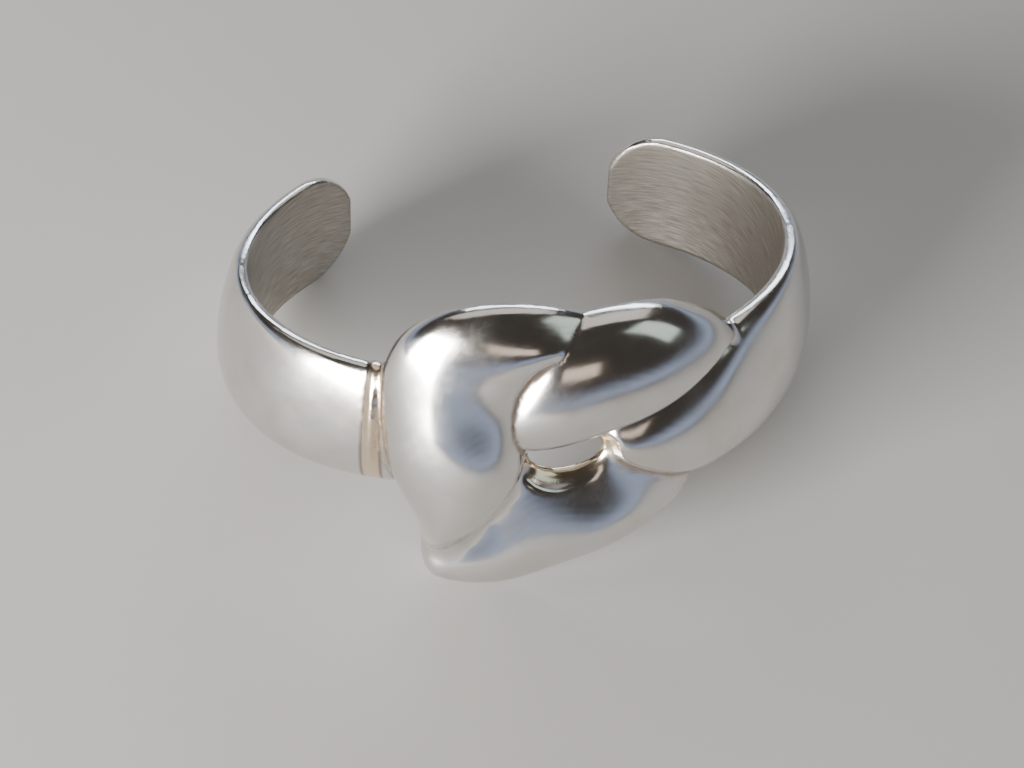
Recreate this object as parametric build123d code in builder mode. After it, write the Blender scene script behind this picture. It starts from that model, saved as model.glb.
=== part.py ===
from build123d import *
import os
from bisect import bisect_right
from collections import namedtuple
from math import asin, cos, pi, radians, sin

# A polished silver cuff for the wrist, open behind, with a knot of domed strands at the front.
# It is hollow: a thin domed outside soldered to a flat inner wall, in one piece.
# Lengths are in millimetres and angles in degrees.

# The oval that the wrist goes through, and the gap behind, whose middle is a little to the right
INNER_WIDTH = 59.4
FRONT_DEPTH = 22.0
BACK_DEPTH = 21.0
GAP = 29.8
GAP_SHIFT = 0.45

# The band, and the metal's thickness at its edge and round the sealed hollow inside
BAND_WIDTH = 14.8
BAND_DOME = 3.7
RIM = 0.9
WALL = 0.9

# The knot, along the oval, along the wrist and out from the inner wall
KNOT_WIDTH = 40.0
KNOT_HEIGHT = 37.0
KNOT_DOME = 7.2

# The rounded end of each arm
TIP_LENGTH = 6.6
TIP_TURNS = [0, 25, 45, 60, 72, 82]

# The beaded collar where the left arm enters the knot
COLLAR_WIDTH = 1.6
COLLAR_PROUD = 0.5
COLLAR_OVERHANG = 0.2
COLLAR_TURNS = [-75, -40, 0, 40, 75]

# A strand reaches this far inside the inner wall before the wrist's hollow is cut
ROOT = 1.6

# A sealed hollow is no lower and no narrower than this
LEAST_ROOM = 0.5
LEAST_SPAN = 1.8

# An arm's sections stand about this far apart
ARM_STEP = 4.5

# The oval is measured in this many steps from the front middle to the back
OVAL_STEPS = 1440

# One section across a strand of the knot: its lower edge, its upper edge and its crest.
# Along is a share of KNOT_WIDTH from the front middle to the right, up is a share of KNOT_HEIGHT
# from the middle of the band, and rise is a share of KNOT_DOME.
Section = namedtuple("Section", "low_along low_up high_along high_up rise")

LEFT_LOBE = [
    Section(-0.325, -0.438, -0.367, -0.416, 0.28),
    Section(-0.287, -0.362, -0.380, -0.346, 0.60),
    Section(-0.240, -0.270, -0.392, -0.265, 0.89),
    Section(-0.185, -0.184, -0.415, -0.195, 1.07),
    Section(-0.135, -0.086, -0.460, -0.103, 1.09),
    Section(-0.125, 0.032, -0.490, 0.065, 1.00),
    Section(-0.130, 0.135, -0.487, 0.222, 0.82),
    Section(-0.125, 0.216, -0.432, 0.362, 0.70),
    Section(-0.100, 0.276, -0.315, 0.456, 0.65),
    Section(-0.065, 0.314, -0.180, 0.482, 0.60),
    Section(-0.020, 0.324, -0.055, 0.462, 0.50),
    Section(0.030, 0.308, 0.035, 0.420, 0.32),
]

MIDDLE_LOBE = [
    Section(-0.225, 0.073, -0.235, 0.151, 0.31),
    Section(-0.200, 0.042, -0.210, 0.205, 0.47),
    Section(-0.160, 0.014, -0.170, 0.259, 0.67),
    Section(-0.110, 0.003, -0.123, 0.332, 0.79),
    Section(-0.045, 0.014, -0.055, 0.400, 0.88),
    Section(0.045, 0.040, 0.033, 0.430, 0.90),
    Section(0.155, 0.070, 0.145, 0.430, 0.89),
    Section(0.260, 0.116, 0.245, 0.404, 0.82),
    Section(0.345, 0.170, 0.330, 0.350, 0.68),
    Section(0.408, 0.188, 0.400, 0.293, 0.49),
    Section(0.462, 0.180, 0.455, 0.230, 0.29),
]

BOTTOM_STRAND = [
    Section(-0.385, -0.440, -0.383, -0.368, 0.18),
    Section(-0.365, -0.488, -0.360, -0.314, 0.44),
    Section(-0.295, -0.518, -0.305, -0.254, 0.60),
    Section(-0.163, -0.512, -0.215, -0.170, 0.66),
    Section(-0.030, -0.470, -0.125, -0.070, 0.65),
    Section(0.100, -0.428, -0.012, -0.128, 0.62),
    Section(0.220, -0.370, 0.075, -0.112, 0.59),
    Section(0.315, -0.295, 0.115, -0.045, 0.54),
    Section(0.345, -0.195, 0.190, -0.010, 0.42),
]

RIGHT_LOBE = [
    Section(0.060, -0.038, 0.065, 0.016, 0.19),
    Section(0.090, -0.076, 0.090, 0.049, 0.46),
    Section(0.150, -0.135, 0.140, 0.086, 0.64),
    Section(0.225, -0.195, 0.220, 0.130, 0.72),
    Section(0.325, -0.238, 0.320, 0.168, 0.75),
    Section(0.430, -0.249, 0.425, 0.208, 0.71),
]

# One upright section of an arm: along is a share of the way from the knot's side to the tip,
# low and high are shares of BAND_WIDTH, and rise is a share of BAND_DOME.
ArmSection = namedtuple("ArmSection", "along low high rise")

RIGHT_ARM = [
    ArmSection(0.045, -0.630, 0.548, 1.24),
    ArmSection(0.180, -0.590, 0.538, 1.11),
    ArmSection(0.400, -0.530, 0.509, 0.97),
    ArmSection(0.660, -0.540, 0.470, 0.95),
    ArmSection(1.000, -0.530, 0.470, 0.95),
]

LEFT_ARM = [
    ArmSection(-0.090, -0.420, 0.560, 0.94),
    ArmSection(0.045, -0.465, 0.555, 0.98),
    ArmSection(0.180, -0.500, 0.540, 1.02),
    ArmSection(0.400, -0.520, 0.510, 1.02),
    ArmSection(0.660, -0.505, 0.470, 0.97),
    ArmSection(1.000, -0.505, 0.470, 0.97),
]

# How far each strand's crest lies from its middle towards its low edge at its start and its end,
# as a share of its width
CREST_LEAN = {
    "left_arm": (0.19, 0.19),
    "right_lobe_and_arm": (0.13, 0.13),
    "left_lobe": (0.0, 0.25),
    "middle_lobe": (0.14, 0.14),
    "bottom_strand": (0.27, 0.27),
    "collar": (0.12, 0.12),
}

# The hole through the knot under the middle lobe: its outline along and up, as the same shares
HOLE = [
    (-0.104, -0.103),
    (-0.095, -0.118),
    (-0.069, -0.135),
    (-0.045, -0.149),
    (-0.015, -0.158),
    (0.025, -0.161),
    (0.065, -0.141),
    (0.079, -0.113),
    (0.086, -0.085),
    (0.078, -0.050),
    (0.045, -0.020),
    (-0.010, -0.025),
    (-0.060, -0.040),
    (-0.098, -0.065),
]

# A section in millimetres: two places on the oval, each along and up, the crest's height over the
# inner wall and its lean
Place = namedtuple("Place", "low high rise lean", defaults=[0.0])


def oval_point(angle):
    """The inner oval, by the angle from the front middle round to the right."""
    depth = FRONT_DEPTH if abs(angle) < pi / 2 else BACK_DEPTH
    return Vector(INNER_WIDTH / 2 * sin(angle), -depth * cos(angle), 0)


def oval_lengths():
    """Lengths along the oval from the front middle to each even step of angle round to the back."""
    corners = [oval_point(pi * step / OVAL_STEPS) for step in range(OVAL_STEPS + 1)]
    lengths = [0.0]
    for here, there in zip(corners, corners[1:]):
        lengths.append(lengths[-1] + (there - here).length)
    return lengths


LENGTHS = oval_lengths()


def angle_at(along):
    """The angle of a place along the oval."""
    step = bisect_right(LENGTHS, abs(along)) - 1
    share = (abs(along) - LENGTHS[step]) / (LENGTHS[step + 1] - LENGTHS[step])
    angle = pi * (step + share) / OVAL_STEPS
    return angle if along > 0 else -angle


def tip_along(side):
    """How far the arm's tip is along the oval. The side is 1 for right and -1 for left."""
    tip_angle = pi - asin((GAP / 2 + side * GAP_SHIFT) / (INNER_WIDTH / 2))
    return LENGTHS[round(tip_angle / pi * OVAL_STEPS)]


def lift(along, up, out):
    """A point over the oval: along it, up the wrist's axis and out from the inner wall."""
    angle = angle_at(along)
    depth = FRONT_DEPTH if abs(angle) < pi / 2 else BACK_DEPTH
    outward = Vector(depth * sin(angle), -INNER_WIDTH / 2 * cos(angle), 0).normalized()
    return oval_point(angle) + outward * out + Vector(0, 0, up)


def knot_places(table):
    """A strand's sections."""
    places = []
    for row in table:
        low = (row.low_along * KNOT_WIDTH, row.low_up * KNOT_HEIGHT)
        high = (row.high_along * KNOT_WIDTH, row.high_up * KNOT_HEIGHT)
        places.append(Place(low, high, row.rise * KNOT_DOME))
    return places


def arm_section(table, share):
    """An arm's section at a share of the way from the knot's side to the tip, between the table's rows."""
    later = next(index for index, row in enumerate(table) if index > 0 and share <= row.along)
    here, there = table[later - 1], table[later]
    blend = (share - here.along) / (there.along - here.along)
    return ArmSection(*[first + blend * (second - first) for first, second in zip(here, there)])


def arm_places(table, side):
    """An arm's sections, evenly from the knot to where the tip begins and then round the tip."""
    start = KNOT_WIDTH / 2
    tip = tip_along(side)
    first = table[0].along
    last = 1 - TIP_LENGTH * sin(radians(TIP_TURNS[-1])) / (tip - start)
    count = round((last - first) * (tip - start) / ARM_STEP)
    places = []
    for index in range(count):
        row = arm_section(table, first + index / count * (last - first))
        along = side * (start + row.along * (tip - start))
        places.append(Place((along, row.low * BAND_WIDTH), (along, row.high * BAND_WIDTH), row.rise * BAND_DOME))
    row = arm_section(table, last)
    middle = (row.low + row.high) / 2 * BAND_WIDTH
    half = (row.high - row.low) / 2 * BAND_WIDTH
    crest = row.rise * BAND_DOME
    for turn in TIP_TURNS:
        share = cos(radians(turn))
        along = side * (tip - TIP_LENGTH * (sin(radians(TIP_TURNS[-1])) - sin(radians(turn))))
        low = (along, middle - half * share)
        high = (along, middle + half * share)
        places.append(Place(low, high, RIM + (crest - RIM) * share))
    return places


def collar_places():
    """The collar's sections: a half round bead that stands over the left arm beside the knot."""
    arm = LEFT_ARM[0]
    middle = -KNOT_WIDTH / 2
    places = []
    for turn in COLLAR_TURNS:
        along = middle + COLLAR_WIDTH / 2 * sin(radians(turn))
        low = (along, arm.low * BAND_WIDTH - COLLAR_OVERHANG)
        high = (along, arm.high * BAND_WIDTH + COLLAR_OVERHANG)
        bead = (COLLAR_PROUD + RIM) * cos(radians(turn)) - RIM
        places.append(Place(low, high, arm.rise * BAND_DOME + bead))
    return places


def inset(places):
    """The sections of the sealed hollow inside a strand, one wall in from its outside."""
    rooms = []
    for place in places:
        along_span = place.high[0] - place.low[0]
        up_span = place.high[1] - place.low[1]
        width = (along_span**2 + up_span**2) ** 0.5
        if width < 2 * WALL + LEAST_SPAN or place.rise < 2 * WALL + LEAST_ROOM:
            continue
        step_along = along_span / width * WALL
        step_up = up_span / width * WALL
        low = (place.low[0] + step_along, place.low[1] + step_up)
        high = (place.high[0] - step_along, place.high[1] - step_up)
        rooms.append(Place(low, high, place.rise - WALL, place.lean))
    return rooms


def leaning(name, places):
    """A strand's sections with their lean, which goes evenly from its start to its end."""
    first, last = CREST_LEAN[name]
    step = (last - first) / (len(places) - 1)
    return [place._replace(lean=first + index * step) for index, place in enumerate(places)]


STRANDS = {
    "left_arm": arm_places(LEFT_ARM, -1),
    "right_lobe_and_arm": knot_places(RIGHT_LOBE) + arm_places(RIGHT_ARM, 1),
    "left_lobe": knot_places(LEFT_LOBE),
    "middle_lobe": knot_places(MIDDLE_LOBE),
    "bottom_strand": knot_places(BOTTOM_STRAND),
    "collar": collar_places(),
}
STRANDS = {name: leaning(name, places) for name, places in STRANDS.items()}


def floor_plane():
    """The floor under the cuff as it lies by itself: on the knot's lowest corner and the two arms' ends."""
    knot = lift(*min((place.low for place in STRANDS["bottom_strand"]), key=lambda low: low[1]), 0)
    shoulder = len(TIP_TURNS)
    left = lift(*STRANDS["left_arm"][-shoulder].low, RIM)
    right = lift(*STRANDS["right_lobe_and_arm"][-shoulder].low, RIM)
    upward = (right - knot).cross(left - knot).normalized()
    sideways = Vector(1, 0, 0) - upward * upward.X
    return Plane(origin=knot, x_dir=sideways, z_dir=upward)


FLOOR = floor_plane()
CENTRE = FLOOR.to_local_coords(Vector(0, 0, 0))
ACROSS = FLOOR.to_local_coords(Vector(1, 0, 0)) - CENTRE
AXIS = FLOOR.to_local_coords(Vector(0, 0, 1)) - CENTRE
CUFF = Plane(origin=CENTRE, x_dir=ACROSS, z_dir=AXIS)


def profile(place):
    """The domed section at a place, on straight sides that reach inside the inner wall.

    The dome falls from its crest to each edge as a quarter of an ellipse.
    """
    middle = [(low + high) / 2 for low, high in zip(place.low, place.high)]
    foot = FLOOR.to_local_coords(lift(*middle, 0))
    crest = FLOOR.to_local_coords(lift(*middle, place.rise))
    low = FLOOR.to_local_coords(lift(*place.low, RIM))
    high = FLOOR.to_local_coords(lift(*place.high, RIM))
    across = high - low
    half = across.length / 2
    plane = Plane(origin=(low + high) / 2, x_dir=across, z_dir=across.cross(crest - foot))
    height = plane.to_local_coords(crest).Y
    depth = RIM + ROOT
    top = -place.lean * across.length
    with BuildSketch(plane) as sketch:
        with BuildLine():
            Line((-half, -depth), (-half, 0))
            EllipticalCenterArc((top, 0), half + top, height, start_angle=180, arc_size=-90)
            EllipticalCenterArc((top, 0), half - top, height, start_angle=90, arc_size=-90)
            Line((half, 0), (half, -depth))
            Line((half, -depth), (-half, -depth))
        make_face()
    return sketch.sketch


def oval_face(grow):
    """The inner oval, grown outwards, as a sketch below the whole cuff."""
    with BuildSketch(CUFF.offset(-KNOT_HEIGHT)) as oval:
        with BuildLine():
            EllipticalCenterArc((0, 0), INNER_WIDTH / 2 + grow, FRONT_DEPTH + grow, start_angle=180, arc_size=180)
            EllipticalCenterArc((0, 0), INNER_WIDTH / 2 + grow, BACK_DEPTH + grow, start_angle=0, arc_size=180)
        make_face()
    return oval.sketch


def hole_face(grow):
    """The hole's outline, grown outwards, as a sketch on the front of the inner wall."""
    corners = [Vector(along * KNOT_WIDTH, up * KNOT_HEIGHT) for along, up in HOLE]
    outline = []
    for before, corner, after in zip(corners[-1:] + corners, corners, corners[1:] + corners[:1]):
        onward = after - before
        outline.append(corner + Vector(onward.Y, -onward.X).normalized() * grow)
    front = Plane(origin=CUFF.from_local_coords(lift(0, 0, 0)), x_dir=ACROSS, z_dir=ACROSS.cross(AXIS))
    with BuildSketch(front) as hole:
        with BuildLine():
            Spline(*outline, periodic=True)
        make_face()
    return hole.sketch


# The middle lobe crosses over the hole in the strands behind it
HOLED = ("left_arm", "right_lobe_and_arm", "left_lobe", "bottom_strand")

# The sealed hollow, which no one sees
with BuildPart() as hollow:
    for name in HOLED:
        loft([profile(place) for place in inset(STRANDS[name])])
    extrude(hole_face(WALL), amount=KNOT_DOME + ROOT, both=True, mode=Mode.SUBTRACT)
    loft([profile(place) for place in inset(STRANDS["middle_lobe"])])
    extrude(oval_face(WALL), amount=2 * KNOT_HEIGHT, mode=Mode.SUBTRACT)

with BuildPart() as knot_cuff:
    for name in HOLED:
        loft([profile(place) for place in STRANDS[name]])
    extrude(hole_face(0), amount=KNOT_DOME + ROOT, both=True, mode=Mode.SUBTRACT)
    for name in ("middle_lobe", "collar"):
        loft([profile(place) for place in STRANDS[name]])
    extrude(oval_face(0), amount=2 * KNOT_HEIGHT, mode=Mode.SUBTRACT)
    add(hollow.part, mode=Mode.SUBTRACT)

# The cuff stands on the origin by the middle of its box
box = knot_cuff.part.bounding_box()
knot_cuff.part.move(Location((-box.center().X, -box.center().Y, -box.min.Z)))

knot_cuff.part.label = "knot_cuff"
os.makedirs("parts", exist_ok=True)
export_step(knot_cuff.part, "parts/knot_cuff.step")
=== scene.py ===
import math

import bpy
import numpy as np
from mathutils import Matrix, Vector


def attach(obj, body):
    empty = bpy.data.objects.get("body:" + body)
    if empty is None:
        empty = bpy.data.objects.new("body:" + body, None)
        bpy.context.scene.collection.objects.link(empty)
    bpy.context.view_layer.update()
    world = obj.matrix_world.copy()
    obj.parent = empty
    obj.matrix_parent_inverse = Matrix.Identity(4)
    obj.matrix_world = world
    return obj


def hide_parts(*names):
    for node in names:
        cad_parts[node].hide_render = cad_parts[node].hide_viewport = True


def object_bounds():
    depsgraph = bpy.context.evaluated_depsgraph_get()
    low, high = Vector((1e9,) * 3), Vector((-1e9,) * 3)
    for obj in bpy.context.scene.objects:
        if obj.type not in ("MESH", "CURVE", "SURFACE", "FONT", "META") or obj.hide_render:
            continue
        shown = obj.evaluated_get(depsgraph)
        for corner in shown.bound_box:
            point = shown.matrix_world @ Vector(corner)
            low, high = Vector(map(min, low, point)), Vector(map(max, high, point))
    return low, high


# A polished silver cuff for the wrist, open behind, with a knot of domed strands at the front.
# Sizes are in millimetres until a piece is built, which is in metres in the frame's axes.
# A place on the cuff is its distance along the inner oval from the front middle (right is
# positive), its height along the axis of the wrist and its distance out from the inner wall.

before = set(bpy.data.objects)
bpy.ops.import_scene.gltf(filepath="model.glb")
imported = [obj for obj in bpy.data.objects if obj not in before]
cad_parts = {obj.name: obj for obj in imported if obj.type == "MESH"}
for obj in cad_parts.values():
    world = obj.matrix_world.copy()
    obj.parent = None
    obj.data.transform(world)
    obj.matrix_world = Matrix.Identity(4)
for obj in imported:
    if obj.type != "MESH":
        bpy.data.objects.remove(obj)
cad_low, cad_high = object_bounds()

MM = 0.001

# The oval that the wrist goes through, and the gap behind, whose middle is a little to the right
INNER_WIDTH = 59.4
FRONT_DEPTH = 22.0
BACK_DEPTH = 21.0
GAP = 29.8
GAP_SHIFT = 0.45

# The band and the knot
BAND_WIDTH = 14.8
BAND_DOME = 3.7
RIM = 0.9
EDGE_ROUND = 0.4
KNOT_WIDTH = 40.0
KNOT_HEIGHT = 37.0
KNOT_DOME = 7.2

# The rounded end of each arm
TIP_LENGTH = 6.6
TIP_TURN = math.radians(82)

# The beaded collar where the left arm enters the knot, which is round over this many degrees each way
COLLAR_WIDTH = 1.6
COLLAR_PROUD = 0.6
COLLAR_OVERHANG = 0.2
COLLAR_TURN = 75

# The edge of the knot's hole: a straight throat through the wall, then a rounded lip. Past the lip
# the hole still opens, and these are its last reach out and aside, in lips.
HOLE_UNDER = 2.0
HOLE_THROAT = 0.35
HOLE_LIP = 1.1
HOLE_LIP_TURNS = np.radians(np.linspace(10, 80, 8))
HOLE_FLARE = (3, 1.6)

# How finely the silver is modelled: the distance between a strand's rows, then steps across its
# dome, under it, round its edges, over the collar, round the oval and round the hole, whose line
# runs on past its start by some corners so that it closes smoothly
ROW_STEP = 0.3
STEPS_ACROSS = 72
STEPS_UNDER = 24
EDGE_STEPS = 6
COLLAR_STEPS = 12
OVAL_STEPS = 2880
HOLE_STEPS = 96
HOLE_OVERLAP = 4
MERGED_WITHIN = 0.002

# The finished skin: the distance between its points, and how many steps deep it is worked out
SKIN_STEP = 0.296
SKIN_DEPTH = 3

# Sections of the knot's strands: low_along low_up high_along high_up rise, as shares of
# KNOT_WIDTH, KNOT_HEIGHT and KNOT_DOME
LEFT_LOBE = [
    (-0.325, -0.438, -0.367, -0.416, 0.28),
    (-0.287, -0.362, -0.380, -0.346, 0.60),
    (-0.240, -0.270, -0.392, -0.265, 0.89),
    (-0.185, -0.184, -0.415, -0.195, 1.07),
    (-0.135, -0.086, -0.460, -0.103, 1.09),
    (-0.125, 0.032, -0.490, 0.065, 1.00),
    (-0.130, 0.135, -0.487, 0.222, 0.82),
    (-0.125, 0.216, -0.432, 0.362, 0.70),
    (-0.100, 0.276, -0.315, 0.456, 0.65),
    (-0.065, 0.314, -0.180, 0.482, 0.60),
    (-0.020, 0.324, -0.055, 0.462, 0.50),
    (0.030, 0.308, 0.035, 0.420, 0.32),
]
MIDDLE_LOBE = [
    (-0.225, 0.073, -0.235, 0.151, 0.31),
    (-0.200, 0.042, -0.210, 0.205, 0.47),
    (-0.160, 0.014, -0.170, 0.259, 0.67),
    (-0.110, 0.003, -0.123, 0.332, 0.79),
    (-0.045, 0.014, -0.055, 0.400, 0.88),
    (0.045, 0.040, 0.033, 0.430, 0.90),
    (0.155, 0.070, 0.145, 0.430, 0.89),
    (0.260, 0.116, 0.245, 0.404, 0.82),
    (0.345, 0.170, 0.330, 0.350, 0.68),
    (0.408, 0.188, 0.400, 0.293, 0.49),
    (0.462, 0.180, 0.455, 0.230, 0.29),
]
BOTTOM_STRAND = [
    (-0.385, -0.440, -0.383, -0.368, 0.18),
    (-0.365, -0.488, -0.360, -0.314, 0.44),
    (-0.295, -0.518, -0.305, -0.254, 0.60),
    (-0.163, -0.512, -0.215, -0.170, 0.66),
    (-0.030, -0.470, -0.125, -0.070, 0.65),
    (0.100, -0.428, -0.012, -0.128, 0.62),
    (0.220, -0.370, 0.075, -0.112, 0.59),
    (0.315, -0.295, 0.115, -0.045, 0.54),
    (0.345, -0.195, 0.190, -0.010, 0.42),
]
RIGHT_LOBE = [
    (0.060, -0.038, 0.065, 0.016, 0.19),
    (0.090, -0.076, 0.090, 0.049, 0.46),
    (0.150, -0.135, 0.140, 0.086, 0.64),
    (0.225, -0.195, 0.220, 0.130, 0.72),
    (0.325, -0.238, 0.320, 0.168, 0.75),
    (0.430, -0.249, 0.425, 0.208, 0.71),
]

# The outline of the hole through the knot, along and up, as the same shares
HOLE = [
    (-0.108, -0.088), (-0.094, -0.110), (-0.070, -0.129), (-0.043, -0.141), (-0.012, -0.146),
    (0.022, -0.141), (0.053, -0.124), (0.074, -0.100), (0.086, -0.076), (0.078, -0.050),
    (0.045, -0.020), (-0.010, -0.025), (-0.060, -0.040), (-0.098, -0.065),
]

# Upright sections of the arms: along low high rise. Along is a share of the way from the knot's
# side to the tip, low and high are shares of BAND_WIDTH and rise is a share of BAND_DOME.
RIGHT_ARM = [
    (0.045, -0.630, 0.548, 1.24),
    (0.180, -0.590, 0.538, 1.11),
    (0.400, -0.530, 0.509, 0.97),
    (0.660, -0.540, 0.470, 0.95),
    (1.000, -0.530, 0.470, 0.95),
]
LEFT_ARM = [
    (-0.090, -0.420, 0.560, 0.94),
    (0.045, -0.465, 0.555, 0.98),
    (0.180, -0.500, 0.540, 1.02),
    (0.400, -0.520, 0.510, 1.02),
    (0.660, -0.505, 0.470, 0.97),
    (1.000, -0.505, 0.470, 0.97),
]


def oval_table():
    """Lengths along the oval from the front middle round to the back, with the angles they are at."""
    angles = np.linspace(0, math.pi, OVAL_STEPS + 1)
    depth = np.where(angles < math.pi / 2, FRONT_DEPTH, BACK_DEPTH)
    corners = np.column_stack([INNER_WIDTH / 2 * np.sin(angles), -depth * np.cos(angles)])
    steps = np.linalg.norm(np.diff(corners, axis=0), axis=1)
    return np.concatenate([[0.0], np.cumsum(steps)]), angles


OVAL_LENGTHS, OVAL_ANGLES = oval_table()


def tip_along(side):
    """How far an arm's tip is along the oval. The side is 1 for right and -1 for left."""
    angle = math.pi - math.asin((GAP / 2 + side * GAP_SHIFT) / (INNER_WIDTH / 2))
    return float(np.interp(angle, OVAL_ANGLES, OVAL_LENGTHS))


def lift(along, up, out):
    """A place on the cuff in the cuff's own axes: right, back and along the wrist."""
    angle = float(np.interp(abs(along), OVAL_LENGTHS, OVAL_ANGLES)) * (1 if along > 0 else -1)
    depth = FRONT_DEPTH if abs(angle) < math.pi / 2 else BACK_DEPTH
    foot = Vector((INNER_WIDTH / 2 * math.sin(angle), -depth * math.cos(angle), up))
    outward = Vector((depth * math.sin(angle), -INNER_WIDTH / 2 * math.cos(angle), 0)).normalized()
    return foot + outward * out


def smooth_through(places, rows, at):
    """A natural cubic curve through the rows, which stand at the places, read at other places."""
    gaps = np.diff(places)
    count = len(places)
    bends = np.eye(count)
    pulls = np.zeros_like(rows)
    slopes = np.diff(rows, axis=0) / gaps[:, None]
    for index in range(1, count - 1):
        bends[index, index - 1:index + 2] = gaps[index - 1], 2 * (gaps[index - 1] + gaps[index]), gaps[index]
        pulls[index] = 6 * (slopes[index] - slopes[index - 1])
    curvature = np.linalg.solve(bends, pulls)
    span = np.clip(np.searchsorted(places, at, side="right") - 1, 0, count - 2)
    gap = gaps[span][:, None]
    past = (at - places[span])[:, None]
    left = gap - past
    ends = curvature[span] * left**3 + curvature[span + 1] * past**3
    straight = (rows[span] / gap - curvature[span] * gap / 6) * left
    return ends / (6 * gap) + straight + (rows[span + 1] / gap - curvature[span + 1] * gap / 6) * past


def dense(rows):
    """Sections in millimetres, smoothed and set ROW_STEP apart along the strand."""
    rows = np.array(rows)
    middles = (rows[:, 0:2] + rows[:, 2:4]) / 2
    strides = np.linalg.norm(np.diff(middles, axis=0), axis=1) + np.abs(np.diff(rows[:, 4])) / 2
    places = np.concatenate([[0.0], np.cumsum(strides)])
    return smooth_through(places, rows, np.linspace(0, places[-1], int(places[-1] / ROW_STEP)))


def knot_sections(table):
    """The sections of a strand of the knot in millimetres."""
    return np.array(table) * (KNOT_WIDTH, KNOT_HEIGHT, KNOT_WIDTH, KNOT_HEIGHT, KNOT_DOME)


def arm_rows(table, side, knot_part=()):
    """An arm in millimetres, with what comes before it in the knot, to its rounded tip."""
    start, tip = KNOT_WIDTH / 2, tip_along(side)
    rows = list(knot_part)
    for along, low, high, rise in table:
        place = side * (start + along * (tip - start))
        rows.append((place, low * BAND_WIDTH, place, high * BAND_WIDTH, rise * BAND_DOME))
    rows = dense(rows)
    rows = rows[side * rows[:, 0] < tip]
    turn = np.arcsin(np.clip((side * rows[:, 0] - tip) / TIP_LENGTH + math.sin(TIP_TURN), 0, 1))
    share = np.cos(turn)
    middle = (rows[:, 1] + rows[:, 3]) / 2
    rows[:, 1] = middle + (rows[:, 1] - middle) * share
    rows[:, 3] = middle + (rows[:, 3] - middle) * share
    rows[:, 4] = RIM + (rows[:, 4] - RIM) * share
    return rows[::side]


def collar_rows():
    """The collar: a half round bead that stands over the left arm beside the knot."""
    _, low, high, rise = LEFT_ARM[0]
    turns = np.radians(np.linspace(-COLLAR_TURN, COLLAR_TURN, COLLAR_STEPS + 1))
    along = -KNOT_WIDTH / 2 + COLLAR_WIDTH / 2 * np.sin(turns)
    proud = (COLLAR_PROUD + RIM) * np.cos(turns) - RIM
    ones = np.ones_like(turns)
    return np.column_stack([
        along, (low * BAND_WIDTH - COLLAR_OVERHANG) * ones,
        along, (high * BAND_WIDTH + COLLAR_OVERHANG) * ones, rise * BAND_DOME + proud])


# Each strand's rows of low_along, low_up, high_along, high_up and rise, in millimetres
STRANDS = {
    "left_arm": arm_rows(LEFT_ARM, -1),
    "right_lobe_and_arm": arm_rows(RIGHT_ARM, 1, knot_sections(RIGHT_LOBE)),
    "left_lobe": dense(knot_sections(LEFT_LOBE)),
    "middle_lobe": dense(knot_sections(MIDDLE_LOBE)),
    "bottom_strand": dense(knot_sections(BOTTOM_STRAND)),
    "collar": collar_rows(),
}

# The strands that the hole isn't cut through
WHOLE = ("middle_lobe", "collar")

# How full each strand's dome is, and how far its crest leans to the low edge at its start and end
DOMES = {
    "left_arm": (0.95, 0.42, 0.42),
    "right_lobe_and_arm": (0.92, 0.28, 0.28),
    "left_lobe": (0.86, 0.0, 0.62),
    "middle_lobe": (0.86, 0.30, 0.30),
    "bottom_strand": (0.80, 0.70, 0.70),
    "collar": (1.0, 0.26, 0.26),
}


def rest_pose():
    """Turns the cuff's own axes into the way it lies: on the knot's lowest corner and both arms' ends."""
    along, share = min(((row[0], row[1]) for row in BOTTOM_STRAND), key=lambda row: row[1])
    knot = lift(along * KNOT_WIDTH, share * KNOT_HEIGHT, 0)
    ends = []
    for table, side in ((LEFT_ARM, -1), (RIGHT_ARM, 1)):
        tip_start = tip_along(side) - TIP_LENGTH * math.sin(TIP_TURN)
        ends.append(lift(side * tip_start, table[-1][1] * BAND_WIDTH, RIM))
    left, right = ends
    upward = (right - knot).cross(left - knot).normalized()
    sideways = (Vector((1, 0, 0)) - upward * upward.x).normalized()
    turn = Matrix((sideways, upward.cross(sideways), upward))
    return turn.to_4x4() @ Matrix.Translation(-knot)


class Nodes:
    """Adds nodes to a tree: what is given for an input is either its value or the socket it comes from."""

    def __init__(self, tree):
        self.tree = tree

    def add(self, kind, *inputs, **settings):
        """A new node with its settings and its first inputs."""
        node = self.tree.nodes.new(kind)
        for name, value in settings.items():
            setattr(node, name, value)
        sockets = [socket for socket in node.inputs if socket.enabled]
        for socket, value in zip(sockets, inputs):
            self.give(socket, value)
        return node

    def give(self, socket, value):
        """Sets an input, or links it to another node's output."""
        if isinstance(value, bpy.types.NodeSocket):
            self.tree.links.new(value, socket)
        elif value is not None:
            socket.default_value = value

    def out(self, kind, *inputs, **settings):
        """The first output of a new node."""
        return next(socket for socket in self.add(kind, *inputs, **settings).outputs if socket.enabled)

    def math(self, operation, *inputs):
        return self.out("ShaderNodeMath", *inputs, operation=operation)

    def vector(self, operation, *inputs):
        return self.out("ShaderNodeVectorMath", *inputs, operation=operation)

    def read(self, name, data_type="FLOAT"):
        """A named attribute in geometry nodes."""
        return self.out("GeometryNodeInputNamedAttribute", name, data_type=data_type)


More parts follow.
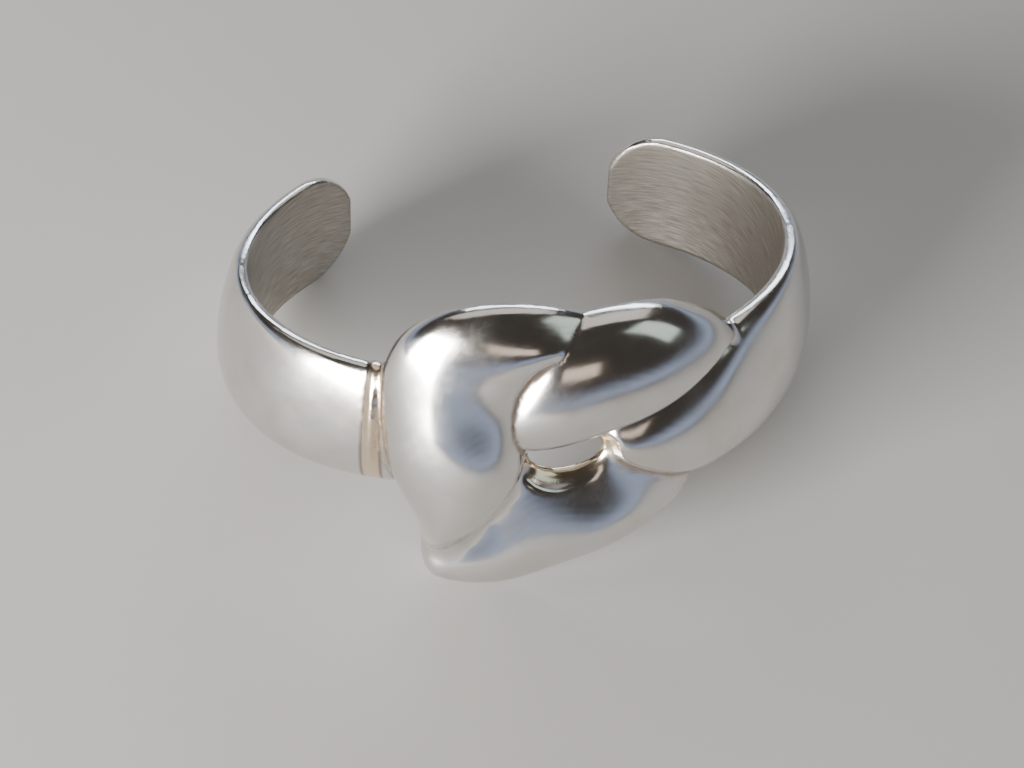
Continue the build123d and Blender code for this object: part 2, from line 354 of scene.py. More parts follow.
def oval_nodes(nodes, half_width, front_depth, back_depth, geometry):
    """Stretches a round of radius 1 into the cuff's oval, from the front middle round to the right."""
    place = nodes.out("GeometryNodeInputPosition")
    parts = nodes.add("ShaderNodeSeparateXYZ", place)
    in_front = nodes.math("GREATER_THAN", parts.outputs[0], 0.0)
    deeper = nodes.math("SUBTRACT", front_depth, back_depth)
    depth = nodes.math("MULTIPLY_ADD", deeper, in_front, back_depth)
    right = nodes.math("MULTIPLY", parts.outputs[1], half_width)
    back = nodes.math("MULTIPLY", nodes.math("MULTIPLY", parts.outputs[0], depth), -1.0)
    stretched = nodes.out("ShaderNodeCombineXYZ", right, back, parts.outputs[2])
    return nodes.out("GeometryNodeSetPosition", geometry, None, stretched)


def new_tree(name, sockets):
    """A geometry node tree with named inputs and one geometry output."""
    tree = bpy.data.node_groups.new(name, "GeometryNodeTree")
    for label, kind in sockets:
        tree.interface.new_socket(label, in_out="INPUT", socket_type="NodeSocket" + kind)
    tree.interface.new_socket("Geometry", in_out="OUTPUT", socket_type="NodeSocketGeometry")
    nodes = Nodes(tree)
    given = {socket.name: socket for socket in nodes.add("NodeGroupInput").outputs}
    return tree, nodes, given


OVAL_SOCKETS = [("Half width", "Float"), ("Front depth", "Float"), ("Back depth", "Float")]
OVAL_SIZES = {
    "Half width": INNER_WIDTH / 2 * MM,
    "Front depth": FRONT_DEPTH * MM,
    "Back depth": BACK_DEPTH * MM,
}
PROFILE_PARTS = ("share", "offset", "base", "turn")


def profile_points():
    """The closed outline of a strand: its dome, its rounded edges and its inner side.

    Each point is a share of the width, an offset across, a height and how far it is round the dome.
    """
    dome = []
    for turn in np.linspace(0, math.pi, STEPS_ACROSS + 1):
        dome.append((-math.cos(turn) / 2, 0.0, RIM, turn))
    corner = []
    for turn in np.linspace(0, math.pi / 2, EDGE_STEPS + 1):
        drawn_in = EDGE_ROUND * (1 - math.cos(turn))
        corner.append((drawn_in, EDGE_ROUND * (1 - math.sin(turn))))
    high_corner = [(0.5, -drawn_in, height, 0.0) for drawn_in, height in corner]
    shares = np.linspace(0.5, -0.5, STEPS_UNDER + 1)[1:-1]
    inner = [(share, -2 * share * EDGE_ROUND, 0.0, 0.0) for share in shares]
    low_corner = [(-0.5, drawn_in, height, 0.0) for drawn_in, height in reversed(corner)]
    return np.array(dome + high_corner + inner + low_corner + dome[:1])


def strand_tree():
    """A closed domed strand that follows its rows of low, high, rise and lean round the oval.

    A fullness under 1 swells the dome's shoulders, and a lean moves its crest to the low edge.
    """
    sockets = [("Rows", "Geometry"), ("Profile", "Object"), ("Rim", "Float"), ("Fullness", "Float")]
    tree, nodes, given = new_tree("domed_strand", sockets + OVAL_SOCKETS + [("Silver", "Material")])
    rows = given["Rows"]
    profile = nodes.add("GeometryNodeObjectInfo", given["Profile"]).outputs["Geometry"]
    count = nodes.add("GeometryNodeAttributeDomainSize", rows).outputs[0]
    columns = nodes.add("GeometryNodeAttributeDomainSize", profile).outputs[0]
    # A ring drawn in to a point closes each end
    rings = nodes.math("ADD", count, 2.0)
    grid = nodes.add("GeometryNodeMeshGrid", 1.0, 1.0, rings, columns).outputs[0]
    index = nodes.math("ADD", nodes.out("GeometryNodeInputIndex"), 0.5)
    ring = nodes.math("FLOOR", nodes.math("DIVIDE", index, columns))
    column = nodes.math("FLOOR", nodes.math("SUBTRACT", index, nodes.math("MULTIPLY", ring, columns)))
    last_row = nodes.math("SUBTRACT", count, 1.0)
    row = nodes.math("MINIMUM", nodes.math("MAXIMUM", nodes.math("SUBTRACT", ring, 1.0), 0.0), last_row)

    def sampled(geometry, name, place, data_type="FLOAT"):
        value = nodes.read(name, data_type)
        return nodes.out("GeometryNodeSampleIndex", geometry, value, place, data_type=data_type)

    low, high = (sampled(rows, name, row, "FLOAT_VECTOR") for name in ("low", "high"))
    rise, lean = (sampled(rows, name, row) for name in ("rise", "lean"))
    share, offset, base, turn = (sampled(profile, name, column) for name in PROFILE_PARTS)
    leaned = nodes.math("MULTIPLY_ADD", nodes.math("SINE", turn), lean, turn)
    swell = nodes.math("POWER", nodes.math("MAXIMUM", nodes.math("SINE", leaned), 0.0), given["Fullness"])
    past_end = nodes.math("COMPARE", ring, nodes.math("ADD", count, 1.0), 0.1)
    at_end = nodes.math("ADD", nodes.math("LESS_THAN", ring, 0.5), past_end)
    whole = nodes.math("SUBTRACT", 1.0, at_end)
    height = nodes.math("MULTIPLY_ADD", nodes.math("SUBTRACT", rise, given["Rim"]), swell, base)
    middle = nodes.vector("SCALE", nodes.vector("ADD", low, high), 0.5)
    width = nodes.vector("SUBTRACT", high, low)
    inwards = nodes.vector("SCALE", nodes.vector("NORMALIZE", width), offset)
    aside = nodes.vector("ADD", nodes.vector("SCALE", width, share), inwards)
    place = nodes.vector("ADD", middle, nodes.vector("SCALE", aside, whole))
    place = nodes.add("ShaderNodeSeparateXYZ", place).outputs
    out = nodes.math("MULTIPLY", height, whole)

    oval_sizes = [given[name] for name, _ in OVAL_SOCKETS]
    round_line = nodes.out("GeometryNodeCurvePrimitiveCircle", 2 * OVAL_STEPS, 1.0, mode="RADIUS")
    oval = oval_nodes(nodes, *oval_sizes, round_line)
    length = nodes.out("GeometryNodeCurveLength", oval)
    along = nodes.math("FLOORED_MODULO", place[0], length)
    on_oval = nodes.add("GeometryNodeSampleCurve", oval, None, along, 0, mode="LENGTH", use_all_curves=False)
    outward = nodes.vector("CROSS_PRODUCT", on_oval.outputs["Tangent"], (0.0, 0.0, 1.0))
    lifted = nodes.vector("ADD", on_oval.outputs["Position"], nodes.vector("SCALE", outward, out))
    lifted = nodes.vector("ADD", lifted, nodes.out("ShaderNodeCombineXYZ", 0.0, 0.0, place[1]))
    strand = nodes.out("GeometryNodeSetPosition", grid, None, lifted)
    strand = nodes.out("GeometryNodeMergeByDistance", strand, None, MERGED_WITHIN * MM)
    strand = nodes.out("GeometryNodeRealizeInstances", strand)
    strand = nodes.out("GeometryNodeSetMaterial", strand, None, given["Silver"])
    nodes.add("NodeGroupOutput", strand)
    return tree


def soldered_tree(holed, whole):
    """The strands soldered together under one even skin, with the hole cut through some of them."""
    sockets = [(name, "Object") for name in ("Hole", *holed, *whole)]
    sockets += [("Skin step", "Float"), ("Silver", "Material")]
    tree, nodes, given = new_tree("soldered_cuff", sockets)

    def shape(name):
        return nodes.add("GeometryNodeObjectInfo", given[name]).outputs["Geometry"]

    def union(shapes):
        joined = nodes.add("GeometryNodeMeshBoolean", operation="UNION", solver="MANIFOLD")
        for each in shapes:
            tree.links.new(each, joined.inputs["Mesh 2"])
        return joined.outputs[0]

    cut = nodes.add("GeometryNodeMeshBoolean", operation="DIFFERENCE", solver="MANIFOLD")
    tree.links.new(union(shape(name) for name in holed), cut.inputs["Mesh 1"])
    tree.links.new(shape("Hole"), cut.inputs["Mesh 2"])
    joined = union([cut.outputs[0]] + [shape(name) for name in whole])
    solid = nodes.out("GeometryNodeMeshToSDFGrid", joined, given["Skin step"], SKIN_DEPTH)
    skin = nodes.out("GeometryNodeGridToMesh", solid, 0.0, 0.0)
    skin = nodes.out("GeometryNodeSetShadeSmooth", skin)
    skin = nodes.out("GeometryNodeRealizeInstances", skin)
    skin = nodes.out("GeometryNodeSetMaterial", skin, None, given["Silver"])
    nodes.add("NodeGroupOutput", skin)
    return tree


def run_tree(tree, sizes, mesh, name):
    """A plain mesh made by the tree on a mesh, with its named inputs set."""
    holder = bpy.data.objects.new(name, mesh)
    bpy.context.scene.collection.objects.link(holder)
    modifier = holder.modifiers.new(tree.name, "NODES")
    modifier.node_group = tree
    for socket in tree.interface.items_tree:
        if socket.in_out == "INPUT" and socket.name in sizes:
            modifier[socket.identifier] = sizes[socket.name]
    bpy.context.view_layer.update()
    graph = bpy.context.evaluated_depsgraph_get()
    made = bpy.data.meshes.new_from_object(holder.evaluated_get(graph), depsgraph=graph)
    holder.modifiers.clear()
    holder.data = made
    return holder


def points_of(mesh, kind="co"):
    """A mesh's points, or its normals at them, in rows."""
    values = np.zeros(len(mesh.vertices) * 3, np.float32)
    mesh.vertices.foreach_get(kind, values)
    return values.reshape(-1, 3).astype(float)


def place_points(mesh, points):
    """Moves a mesh's points to places given in millimetres."""
    mesh.vertices.foreach_set("co", np.float32(points * MM).ravel())
    mesh.update()


def keep_values(mesh, values):
    """Keeps named values on a mesh's points, which are numbers or places."""
    for label, value in values.items():
        kind, slot = ("FLOAT", "value") if value.ndim == 1 else ("FLOAT_VECTOR", "vector")
        attribute = mesh.attributes.new(label, kind, "POINT")
        attribute.data.foreach_set(slot, np.float32(value).ravel())


def points_mesh(name, values):
    """Points that carry named values, which are numbers or places."""
    mesh = bpy.data.meshes.new(name)
    mesh.vertices.add(len(next(iter(values.values()))))
    keep_values(mesh, values)
    return mesh


def rows_mesh(name, rows, first_lean, last_lean):
    """A strand's sections as points with their low edge, high edge and rise, in metres, and lean."""
    flat = np.zeros(len(rows))
    leans = np.linspace(first_lean, last_lean, len(rows))
    low = np.column_stack([rows[:, 0], rows[:, 1], flat]) * MM
    high = np.column_stack([rows[:, 2], rows[:, 3], flat]) * MM
    return points_mesh(name, {"low": low, "high": high, "rise": rows[:, 4] * MM, "lean": leans})


def profile_object():
    """A strand's outline as points for the tree to read, in metres."""
    columns = (profile_points() * (1, MM, MM, 1)).T
    mesh = points_mesh("profile", dict(zip(PROFILE_PARTS, columns)))
    holder = bpy.data.objects.new("profile", mesh)
    bpy.context.scene.collection.objects.link(holder)
    return holder


def neighbours_of(mesh, chosen=None):
    """A function that averages values over each vertex's neighbours, for all or the chosen vertices."""
    ends = np.zeros(len(mesh.edges) * 2, np.int32)
    mesh.edges.foreach_get("vertices", ends)
    here = np.concatenate([ends[0::2], ends[1::2]])
    there = np.concatenate([ends[1::2], ends[0::2]])
    count = len(mesh.vertices)
    if chosen is not None:
        order = np.full(count, -1)
        order[chosen] = np.arange(len(chosen))
        kept = order[here] >= 0
        here, there = order[here[kept]], there[kept]
        count = len(chosen)
    number = np.maximum(np.bincount(here, minlength=count), 1)[:, None]

    def average(values):
        columns = [np.bincount(here, column[there], minlength=count) for column in values.T]
        return np.column_stack(columns) / number

    return average


# How many times the foot of a point on the oval is worked out closer
FOOT_ROUNDS = 8


def places_on_cuff(points):
    """Along, up and out of points in the cuff's own axes, all in millimetres."""
    half = INNER_WIDTH / 2
    depth = np.where(points[:, 1] < 0, FRONT_DEPTH, BACK_DEPTH)
    turn = np.arctan2(points[:, 0] / half, -points[:, 1] / depth)
    for _ in range(FOOT_ROUNDS):
        foot = np.column_stack([half * np.sin(turn), -depth * np.cos(turn)])
        slope = np.column_stack([half * np.cos(turn), depth * np.sin(turn)])
        aside = ((points[:, :2] - foot) * slope).sum(1)
        turn = turn + aside / ((slope**2).sum(1) + ((points[:, :2] - foot) * foot).sum(1))
    foot = np.column_stack([half * np.sin(turn), -depth * np.cos(turn)])
    outward = np.column_stack([depth * np.sin(turn), -half * np.cos(turn)])
    outward /= np.linalg.norm(outward, axis=1)[:, None]
    out = ((points[:, :2] - foot) * outward).sum(1)
    along = np.interp(np.abs(turn), OVAL_ANGLES, OVAL_LENGTHS) * np.sign(turn)
    return np.column_stack([along, points[:, 2], out])


def hole_outline():
    """The hole's outline in millimetres, as a smooth closed line with its outward directions."""
    corners = np.array(HOLE + HOLE[:1]) * (KNOT_WIDTH, KNOT_HEIGHT)
    strides = np.linalg.norm(np.diff(corners, axis=0), axis=1)
    before, after = corners[-HOLE_OVERLAP - 1:-1], corners[1:HOLE_OVERLAP + 1]
    wrapped = np.vstack([before, corners, after])
    steps = np.linalg.norm(np.diff(wrapped, axis=0), axis=1)
    places = np.concatenate([[0.0], np.cumsum(steps)]) - steps[:HOLE_OVERLAP].sum()
    at = np.linspace(0, strides.sum(), HOLE_STEPS, endpoint=False)
    line = smooth_through(places, wrapped, at)
    slope = np.roll(line, -1, axis=0) - np.roll(line, 1, axis=0)
    outward = np.column_stack([slope[:, 1], -slope[:, 0]])
    return line, outward / np.linalg.norm(outward, axis=1)[:, None]


def hole_object():
    """What is cut away for the hole: straight through the wall, and flared to a rounded lip."""
    line, outward = hole_outline()
    levels = [(-HOLE_UNDER, 0.0), (HOLE_THROAT, 0.0)]
    for turn in HOLE_LIP_TURNS:
        levels.append((HOLE_THROAT + HOLE_LIP * math.sin(turn), HOLE_LIP * (1 - math.cos(turn))))
    last_out, last_aside = HOLE_FLARE
    levels.append((HOLE_THROAT + last_out * HOLE_LIP, last_aside * HOLE_LIP))
    points = []
    for out, grown in levels:
        points += [lift(*(place + aside * grown), out) * MM for place, aside in zip(line, outward)]
    count, last = len(line), len(levels) - 1
    faces = [list(range(count - 1, -1, -1)), list(range(count * last, count * (last + 1)))]
    for level in range(last):
        for index in range(count):
            here, there = level * count + index, level * count + (index + 1) % count
            faces.append([here, there, there + count, here + count])
    mesh = bpy.data.meshes.new("hole")
    mesh.from_pydata(points, [], faces)
    mesh.validate()
    holder = bpy.data.objects.new("hole", mesh)
    bpy.context.scene.collection.objects.link(holder)
    return holder


# Where metal is filled in so that one strand flows softly into the next: along, up and reach in
# millimetres. The filling fades out over the outer part of the reach.
SOFT_VALLEYS = [
    (-6.5, -5.5, 2.4),
    (-8.5, -7.5, 3.2),
    (-11.0, -10.5, 3.8),
    (-13.0, -13.5, 3.8),
    (18.8, 8.8, 2.6),
]
VALLEY_FADE = 1.6
FILLING_ROUNDS = 160
FILLING_PULL = 0.5

# The rounded metal at the hole: how far it reaches from the outline, and how far the hole is looked for
LIP_REACH = 2.2
LIP_LOOKED_FOR = KNOT_WIDTH / 4
LIP_ROUNDS = 10
LIP_PULL = 0.5

# The skin is evened by a pull towards the neighbours and a slightly stronger push back, and again
# after the filling. Its recesses show against the points averaged this many times.
EVENING_PULLS = (0.50, -0.53)
EVENING_ROUNDS = 6
LAST_ROUNDS = 2
RECESS_ROUNDS = 12


def fill_valleys(mesh, points):
    """Fills the creases between strands that flow into each other, and takes nothing off the domes."""
    places = places_on_cuff(points)
    soft = np.zeros(len(points))
    for along, up, reach in SOFT_VALLEYS:
        distance = np.hypot(places[:, 0] - along, places[:, 1] - up) / reach
        soft = np.maximum(soft, np.clip(VALLEY_FADE * (1 - distance), 0, 1))
    soft *= np.clip(places[:, 2] - RIM, 0, 1)
    chosen = np.flatnonzero(soft > 0)
    average = neighbours_of(mesh, chosen)
    place_points(mesh, points)
    outward = points_of(mesh, "normal")[chosen]
    soft = soft[chosen][:, None]
    for _ in range(FILLING_ROUNDS):
        step = average(points) - points[chosen]
        raised = (step * outward).sum(1)[:, None]
        kept = np.where(raised > 0, step, step - raised * outward)
        points[chosen] += FILLING_PULL * soft * kept


def near_hole(places):
    """How near each place is to the hole's outline: 1 on it and 0 from LIP_REACH away."""
    line, _ = hole_outline()
    nearness = np.zeros(len(places))
    around = np.linalg.norm(places[:, :2] - line.mean(0), axis=1) < LIP_LOOKED_FOR
    gaps = np.linalg.norm(places[around, None, :2] - line[None], axis=2).min(1)
    nearness[around] = np.clip(1 - gaps / LIP_REACH, 0, 1)
    return nearness


def round_lip(mesh, points):
    """Rounds the metal close to the hole's outline, as years of polishing do."""
    nearness = near_hole(places_on_cuff(points))
    chosen = np.flatnonzero(nearness > 0)
    amount = LIP_PULL * (1 - (1 - nearness[chosen]) ** 2)[:, None]
    average = neighbours_of(mesh, chosen)
    for _ in range(LIP_ROUNDS):
        points[chosen] += amount * (average(points) - points[chosen])


def even_out(points, average, rounds):
    """Evens the points without shrinking what they make."""
    for _ in range(rounds):
        for pull in EVENING_PULLS:
            points += pull * (average(points) - points)


def ease(mesh):
    """The skin's points in millimetres, eased, and the way from each to the middle of those around."""
    average = neighbours_of(mesh)
    points = points_of(mesh) / MM
    even_out(points, average, EVENING_ROUNDS)
    fill_valleys(mesh, points)
    round_lip(mesh, points)
    even_out(points, average, LAST_ROUNDS)
    around = points.copy()
    for _ in range(RECESS_ROUNDS):
        around = average(around)
    return points, around - points


def dress(mesh, points, dip):
    """Gives the mesh its eased points, with their places on the cuff and the recesses for the finish."""
    place_points(mesh, points)
    recess = (dip * points_of(mesh, "normal")).sum(1)
    places = places_on_cuff(points)
    keep_values(mesh, {"place": places, "recess": recess, "lip": near_hole(places)})


# The colours of the silver: polished, polished but warmer, brushed inside, and what wear leaves, with a
# painted warm reflection for the hole's lip
COOL_SILVER = (0.74, 0.73, 0.72, 1.0)
WARM_SILVER = (0.70, 0.66, 0.62, 1.0)
DARK_STREAK = (0.43, 0.39, 0.34, 1.0)
PALE_STREAK = (0.67, 0.64, 0.59, 1.0)
TARNISH = (0.30, 0.23, 0.18, 1.0)
# A painted warm, golden reflection for the lip of the hole
LIP_WARM_REFLECTION = (0.88, 0.72, 0.50, 1.0)
SOLDER = (0.26, 0.19, 0.14, 1.0)
WARM_COLLAR = (0.88, 0.68, 0.48, 1.0)

# How much of the tarnish, the painted reflection on the lip, the solder and the collar's colour shows
TARNISH_SHARE = 0.85
LIP_REFLECTION_SHARE = 0.75
SOLDER_SHARE = 0.75
COLLAR_SHARE = 0.8

# Fine scratches in several directions: turn in degrees, how close together and how long
SCRATCHES = [(12, 13.0, 0.06), (71, 11.0, 0.07), (122, 14.0, 0.08), (160, 10.0, 0.05)]
SCRATCH_EDGES = (0.575, 0.76)

# Uneven patterns: how close together their spots are, how many finer layers and how strong those are
WEAR = (0.16, 4.0, 0.6)
WARMTH = (0.22, 3.0, 0.55)
GRAIN = (9.0, 2.0, 0.6)
STREAKS = (1.0, 6.0, 0.65)

# The arcs that the inner wall is brushed in: the place they go round, on both sides of the front
# middle, how gently they level out there, and how close together and how short the streaks are
BRUSHED_ABOUT = (58.0, -24.0, 0.0)
BRUSHED_LEVEL = 14.0
BRUSHED_CLOSE = 7.0
BRUSHED_SHORT = 8.0

# Roughness: polished metal, what wear, scratches and tarnish add, and the inner wall and its streaks
POLISHED_ROUGH = 0.13
WEAR_ROUGH = 0.07
SCRATCH_ROUGH = 0.07
TARNISH_ROUGH = 0.20
INNER_ROUGH = 0.22
STREAK_ROUGH = 0.25

# How high the grain, the scratches and the streaks stand, and how much of it shows
GRAIN_HEIGHT = 0.16
SCRATCH_HEIGHT = -0.07
STREAK_HEIGHT = 1.5
RELIEF = 0.35
RELIEF_STEP = 0.004


class Finish(Nodes):
    """Nodes of a material, with the patterns that the silver's finish is made of."""

    def between(self, value, low, high, out_low=0.0, out_high=1.0):
        """A smooth step from one value to another."""
        inputs = (value, low, high, out_low, out_high)
        return self.out("ShaderNodeMapRange", *inputs, interpolation_type="SMOOTHSTEP")

    def noise(self, place, scale, detail, rough):
        """An uneven pattern from 0 to 1."""
        texture = self.add("ShaderNodeTexNoise", noise_dimensions="3D")
        for name, value in (("Vector", place), ("Scale", scale), ("Detail", detail), ("Roughness", rough)):
            self.give(texture.inputs[name], value)
        return texture.outputs["Fac"]

    def blend(self, share, first, second):
        """A colour between two."""
        mix = self.add("ShaderNodeMix", data_type="RGBA")
        for socket, value in zip((s for s in mix.inputs if s.enabled), (share, first, second)):
            self.give(socket, value)
        return next(socket for socket in mix.outputs if socket.enabled)

    def kept(self, name, output="Fac"):
        """A value that the mesh keeps at its points."""
        return self.add("ShaderNodeAttribute", attribute_name=name).outputs[output]

    def mixed(self, share, first, second):
        """A number between two."""
        change = self.math("MULTIPLY", share, self.math("SUBTRACT", second, first))
        return self.math("ADD", first, change)

    def scratches(self, place):
        """Straight hairlines in several directions."""
        lines = None
        for turn, close, long in SCRATCHES:
            turned = self.add("ShaderNodeVectorRotate", rotation_type="Z_AXIS")
            self.give(turned.inputs["Vector"], place)
            self.give(turned.inputs["Angle"], math.radians(turn))
            stretched = self.vector("MULTIPLY", turned.outputs[0], (long, close, 1.0))
            layer = self.between(self.noise(stretched, 1.0, 1.0, 0.5), *SCRATCH_EDGES)
            lines = layer if lines is None else self.math("MAXIMUM", lines, layer)
        return lines

    def brushing(self, along, up):
        """Streaks in wide arcs, which run level at the front middle."""
        aside = self.math("SQRT", self.math("MULTIPLY_ADD", along, along, BRUSHED_LEVEL ** 2))
        place = self.out("ShaderNodeCombineXYZ", aside, up, 0.0)
        from_middle = self.vector("SUBTRACT", place, BRUSHED_ABOUT)
        radius = self.out("ShaderNodeVectorMath", from_middle, operation="LENGTH")
        spokes = self.add("ShaderNodeSeparateXYZ", from_middle).outputs
        turn = self.math("ARCTAN2", spokes[1], spokes[0])
        rings = self.math("MULTIPLY", radius, BRUSHED_CLOSE)
        sweep = self.math("MULTIPLY", turn, BRUSHED_SHORT)
        return self.noise(self.out("ShaderNodeCombineXYZ", rings, sweep, 0.0), *STREAKS)

    def collar(self, along, out, colour):
        """The collar is warmer, between two dark lines of solder."""
        from_collar = self.math("ABSOLUTE", self.math("ADD", along, KNOT_WIDTH / 2))
        half = COLLAR_WIDTH / 2
        outside = self.between(out, 0.4, 0.8)
        solder = self.math("MULTIPLY", self.between(from_collar, half - 0.1, half + 0.1), SOLDER_SHARE)
        solder = self.math("MULTIPLY", solder, self.between(from_collar, half + 0.5, half + 0.15))
        colour = self.blend(self.math("MULTIPLY", solder, outside), colour, SOLDER)
        warm = self.math("MULTIPLY", self.between(from_collar, half + 0.1, half - 0.15), COLLAR_SHARE)
        return self.blend(self.math("MULTIPLY", warm, outside), colour, WARM_COLLAR)


def silver_finish():
    """Polished silver: a mirror with fine scratches, brushed inside and darker in the recesses."""
    material = bpy.data.materials.new("polished_silver")
    material.use_nodes = True
    tree = material.node_tree
    tree.nodes.clear()
    nodes = Finish(tree)
    place = nodes.kept("place", "Vector")
    along, up, out = nodes.add("ShaderNodeSeparateXYZ", place).outputs
    body = nodes.vector("SCALE", nodes.add("ShaderNodeTexCoord").outputs["Object"], 1 / MM)

    wear = nodes.between(nodes.noise(body, *WEAR), 0.35, 0.70)
    lines = nodes.math("MULTIPLY", nodes.scratches(place), nodes.between(wear, 0.0, 1.0, 0.35, 1.0))
    grain = nodes.noise(body, *GRAIN)
    inside = nodes.between(out, 0.30, 0.06)
    brushed = nodes.brushing(along, up)

    # What the polishing cloth does not reach stays darker and warmer
    tarnish = nodes.between(nodes.kept("recess"), 0.015, 0.16)
    warm = nodes.between(nodes.noise(body, *WARMTH), 0.40, 0.75)
    colour = nodes.blend(warm, COOL_SILVER, WARM_SILVER)
    streaked = nodes.blend(nodes.between(brushed, 0.35, 0.65), DARK_STREAK, PALE_STREAK)
    colour = nodes.blend(inside, colour, streaked)
    colour = nodes.blend(nodes.math("MULTIPLY", tarnish, TARNISH_SHARE), colour, TARNISH)

    # The outside of the hole's lip gets a painted warm, golden reflection
    lip_reflection = nodes.math("MULTIPLY", nodes.between(nodes.kept("lip"), 0.35, 0.80), nodes.between(out, 0.1, 0.5))
    colour = nodes.blend(nodes.math("MULTIPLY", lip_reflection, LIP_REFLECTION_SHARE), colour, LIP_WARM_REFLECTION)
    colour = nodes.collar(along, out, colour)

    rough = nodes.math("MULTIPLY_ADD", wear, WEAR_ROUGH, POLISHED_ROUGH)
    rough = nodes.math("MULTIPLY_ADD", lines, SCRATCH_ROUGH, rough)
    rough = nodes.math("MULTIPLY_ADD", tarnish, TARNISH_ROUGH, rough)
    rough = nodes.mixed(inside, rough, nodes.math("MULTIPLY_ADD", brushed, STREAK_ROUGH, INNER_ROUGH))

    height = nodes.math("MULTIPLY_ADD", grain, GRAIN_HEIGHT, nodes.math("MULTIPLY", lines, SCRATCH_HEIGHT))
    height = nodes.mixed(inside, height, nodes.math("MULTIPLY", brushed, STREAK_HEIGHT))
    bump = nodes.add("ShaderNodeBump")
    bump.inputs["Strength"].default_value = RELIEF
    bump.inputs["Distance"].default_value = RELIEF_STEP * MM
    nodes.give(bump.inputs["Height"], height)

    shader = nodes.add("ShaderNodeBsdfPrincipled")
    shader.inputs["Metallic"].default_value = 1.0
    nodes.give(shader.inputs["Base Color"], colour)
    nodes.give(shader.inputs["Roughness"], rough)
    nodes.give(shader.inputs["Normal"], bump.outputs["Normal"])
    output = nodes.add("ShaderNodeOutputMaterial")
    tree.links.new(shader.outputs[0], output.inputs["Surface"])
    return material


def build_cuff(silver):
    """The whole cuff as one soldered piece."""
    strand = strand_tree()
    profile = profile_object()
    made = {}
    for name, rows in STRANDS.items():
        fullness, first_lean, last_lean = DOMES[name]
        sizes = {"Profile": profile, "Rim": RIM * MM, "Fullness": fullness, "Silver": silver}
        sizes |= OVAL_SIZES
        made[name] = run_tree(strand, sizes, rows_mesh(name, rows, first_lean, last_lean), name)
    bpy.data.objects.remove(profile)
    tree = soldered_tree([name for name in made if name not in WHOLE], WHOLE)
    made["Hole"] = hole_object()
    sizes = made | {"Skin step": SKIN_STEP * MM, "Silver": silver}
    cuff = run_tree(tree, sizes, bpy.data.meshes.new("silver_cuff"), "silver_cuff")
    for piece in made.values():
        bpy.data.objects.remove(piece)
    points, dip = ease(cuff.data)
    dress(cuff.data, points, dip)
    return cuff


def lay_down(cuff):
    """Lays the cuff on the floor in the middle of the CAD box, and gives how it was turned and moved."""
    turned = Matrix.Scale(MM, 4) @ rest_pose() @ Matrix.Scale(1 / MM, 4)
    cuff.data.transform(turned)
    box = points_of(cuff.data)
    low, high = box.min(0), box.max(0)
    middle = (cad_low + cad_high) / 2
    seat = Vector((middle.x - (low[0] + high[0]) / 2, middle.y - (low[1] + high[1]) / 2, cad_low.z - low[2]))
    moved = Matrix.Translation(seat)
    cuff.data.transform(moved)
    return moved @ turned


silver = silver_finish()
cuff = build_cuff(silver)
lying = lay_down(cuff)
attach(cuff, "root")
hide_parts("knot_cuff")

# The camera, in millimetres in the cuff's own axes
CAMERA_PLACE = Vector((-66.0, -230.0, 198.0))
CAMERA_LOOK = Vector((0.20654, 0.72093, -0.66151))
CAMERA_UP = Vector((0.14404, 0.64632, 0.74935))
CAMERA_LENS = 98.44


def place_camera(lying):
    """The camera at the photo's angle to the cuff."""
    camera = bpy.data.cameras.new("camera")
    camera.lens = CAMERA_LENS
    camera.sensor_width = 36
    camera.clip_start = 0.01
    camera.clip_end = 10
    holder = bpy.data.objects.new("camera", camera)
    bpy.context.scene.collection.objects.link(holder)
    turn = Matrix((CAMERA_LOOK.cross(CAMERA_UP), CAMERA_UP, -CAMERA_LOOK)).transposed().to_4x4()
    holder.matrix_world = lying @ Matrix.Translation(CAMERA_PLACE * MM) @ turn
    bpy.context.scene.camera = holder


place_camera(lying)

# The lights, whose sizes and distances are in metres, look at a point this high over the origin
LIT_HEIGHT = 0.015
ROOM = (0.055, 0.048, 0.042, 1.0)
HORIZON = (0.42, 0.50, 0.68, 1.0)


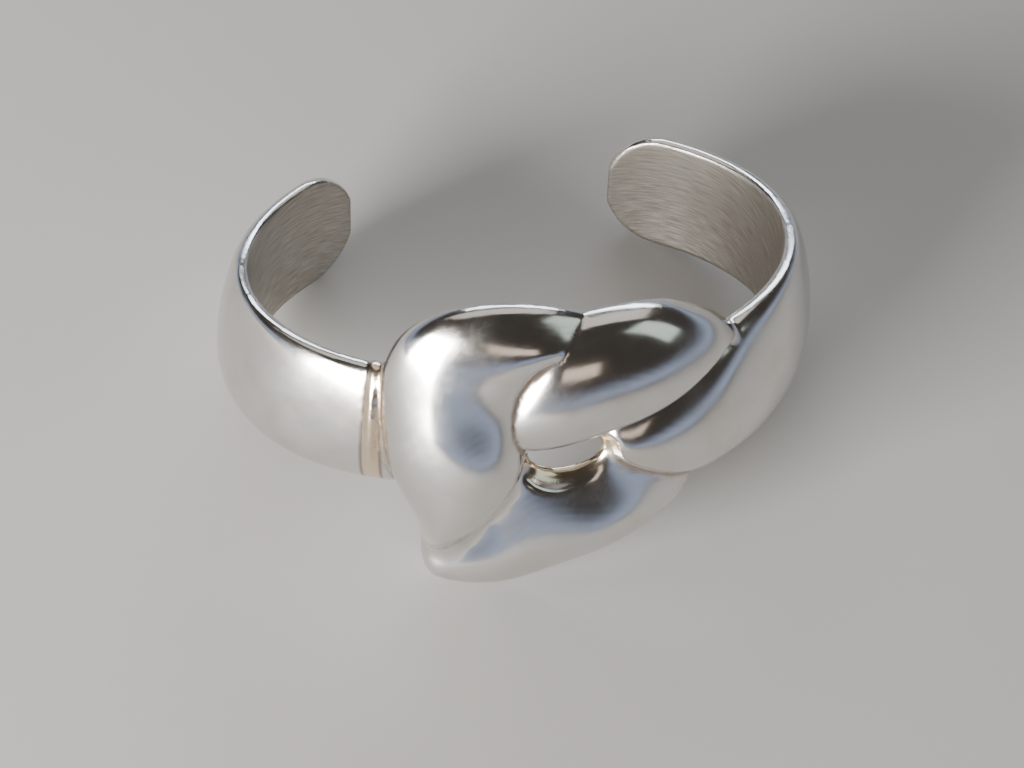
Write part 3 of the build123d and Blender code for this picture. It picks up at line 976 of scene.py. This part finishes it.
def light(name, turn, rise, far, size, brightness, colour):
    """A soft light far from the cuff, by its turn from the right and its rise over the floor in degrees."""
    lamp = bpy.data.lights.new(name, "AREA")
    lamp.shape = "RECTANGLE"
    lamp.size, lamp.size_y = size
    lamp.energy = brightness * math.pi * size[0] * size[1]
    lamp.color = colour
    holder = bpy.data.objects.new(name, lamp)
    bpy.context.scene.collection.objects.link(holder)
    turn, rise = math.radians(turn), math.radians(rise)
    level = math.cos(rise)
    toward = Vector((level * math.cos(turn), level * math.sin(turn), math.sin(rise)))
    holder.location = toward * far + Vector((0, 0, LIT_HEIGHT))
    holder.rotation_euler = toward.to_track_quat("Z", "Y").to_euler()


light("key", -152, 12, 0.55, (0.28, 0.24), 50.0, (1.0, 0.97, 0.93))
light("top", 90, 62, 0.9, (1.3, 0.7), 0.85, (1.0, 0.94, 0.88))
light("right", -25, 42, 0.6, (0.24, 0.34), 1.0, (0.84, 1.0, 0.93))
light("front", -98, 27, 0.6, (0.34, 0.10), 1.2, (1.0, 0.82, 0.68))
light("rim", 75, 24, 0.6, (0.50, 0.10), 8.0, (0.86, 0.93, 1.0))


def sky():
    """A dim warm room with a paler, bluish band along the horizon."""
    world = bpy.data.worlds.new("studio")
    world.use_nodes = True
    nodes = Finish(world.node_tree)
    toward = nodes.add("ShaderNodeTexCoord").outputs["Generated"]
    upward = nodes.add("ShaderNodeSeparateXYZ", toward).outputs[2]
    colour = nodes.blend(nodes.between(upward, 0.24, 0.03), ROOM, HORIZON)
    nodes.give(world.node_tree.nodes["Background"].inputs["Color"], colour)
    bpy.context.scene.world = world


sky()

# The pale floor, in metres, a hair under the cuff
FLOOR_SIZE = 3.0
FLOOR_GAP = 0.00005
FLOOR_COLOUR = (0.54, 0.53, 0.52, 1.0)
FLOOR_ROUGH = 0.9

bpy.ops.mesh.primitive_plane_add(size=FLOOR_SIZE, location=(0, 0, cad_low.z - FLOOR_GAP))
floor = bpy.context.object
floor.name = "floor"
paper = bpy.data.materials.new("pale_paper")
paper.use_nodes = True
paper_shader = paper.node_tree.nodes["Principled BSDF"]
paper_shader.inputs["Base Color"].default_value = FLOOR_COLOUR
paper_shader.inputs["Roughness"].default_value = FLOOR_ROUGH
floor.data.materials.append(paper)
